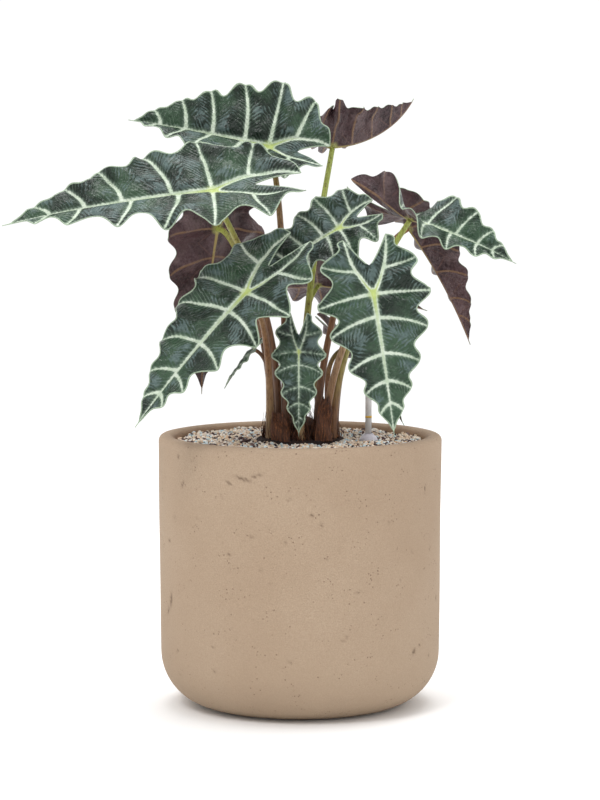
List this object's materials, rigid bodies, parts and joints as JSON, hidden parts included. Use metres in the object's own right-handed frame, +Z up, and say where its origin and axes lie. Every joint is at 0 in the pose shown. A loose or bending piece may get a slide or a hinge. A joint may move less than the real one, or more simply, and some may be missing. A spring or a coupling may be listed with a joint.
{
  "type": "potted alocasia",
  "caption": "Arrow-leaved houseplant with pale veins and purple undersides, in a round cast planter filled with mineral granulate, with a water level gauge.",
  "frame": {"origin": "centre of the planter's flat foot", "axes": "+Z up along the planter's axis, -Y towards the front, where the two large hanging leaves are, +X to the right seen from the front"},
  "size_m": [0.4225, 0.2705, 0.5281],
  "materials": {
    "cast_stone": "matt, fine grained, with small pits",
    "mineral_grains": "loose grains of pumice, zeolite and lava",
    "peat": "dark crumbly peat",
    "bark": "rough and ringed",
    "dry_husk": "dry and papery",
    "petiole_skin": "smooth, brown at the foot and green under the blade",
    "leaf_blade": "leathery and satin, dark green with pale veins above, purple below",
    "dark_plastic": "matt",
    "clear_plastic": "clear and slightly frosted",
    "red_plastic": "glossy"
  },
  "bodies": {
    "root": {"planter": "cast_stone", "granulate": "mineral_grains", "root_ball": "peat", "rhizome": "bark", "husk_front_right": "dry_husk", "husk_front_left": "dry_husk", "husk_back": "dry_husk", "gauge_shaft": "dark_plastic", "gauge_collar": "clear_plastic", "gauge_tube": "clear_plastic", "gauge_float": "red_plastic", "petiole_long_left": "petiole_skin", "petiole_top_left": "petiole_skin", "petiole_top_right": "petiole_skin", "petiole_right": "petiole_skin", "petiole_right_drooping": "petiole_skin", "petiole_centre": "petiole_skin", "petiole_left_front": "petiole_skin", "petiole_right_front": "petiole_skin", "petiole_small_front": "petiole_skin", "petiole_back_left": "petiole_skin", "petiole_small_left": "petiole_skin", "petiole_back": "petiole_skin", "petiole_low_right": "petiole_skin", "leaf_long_left": "leaf_blade", "leaf_top_left": "leaf_blade", "leaf_top_right": "leaf_blade", "leaf_right": "leaf_blade", "leaf_right_drooping": "leaf_blade", "leaf_centre": "leaf_blade", "leaf_left_front": "leaf_blade", "leaf_right_front": "leaf_blade", "leaf_small_front": "leaf_blade", "leaf_back_left": "leaf_blade", "leaf_small_left": "leaf_blade", "leaf_back": "leaf_blade", "leaf_low_right": "leaf_blade"}
  },
  "joints": []
}
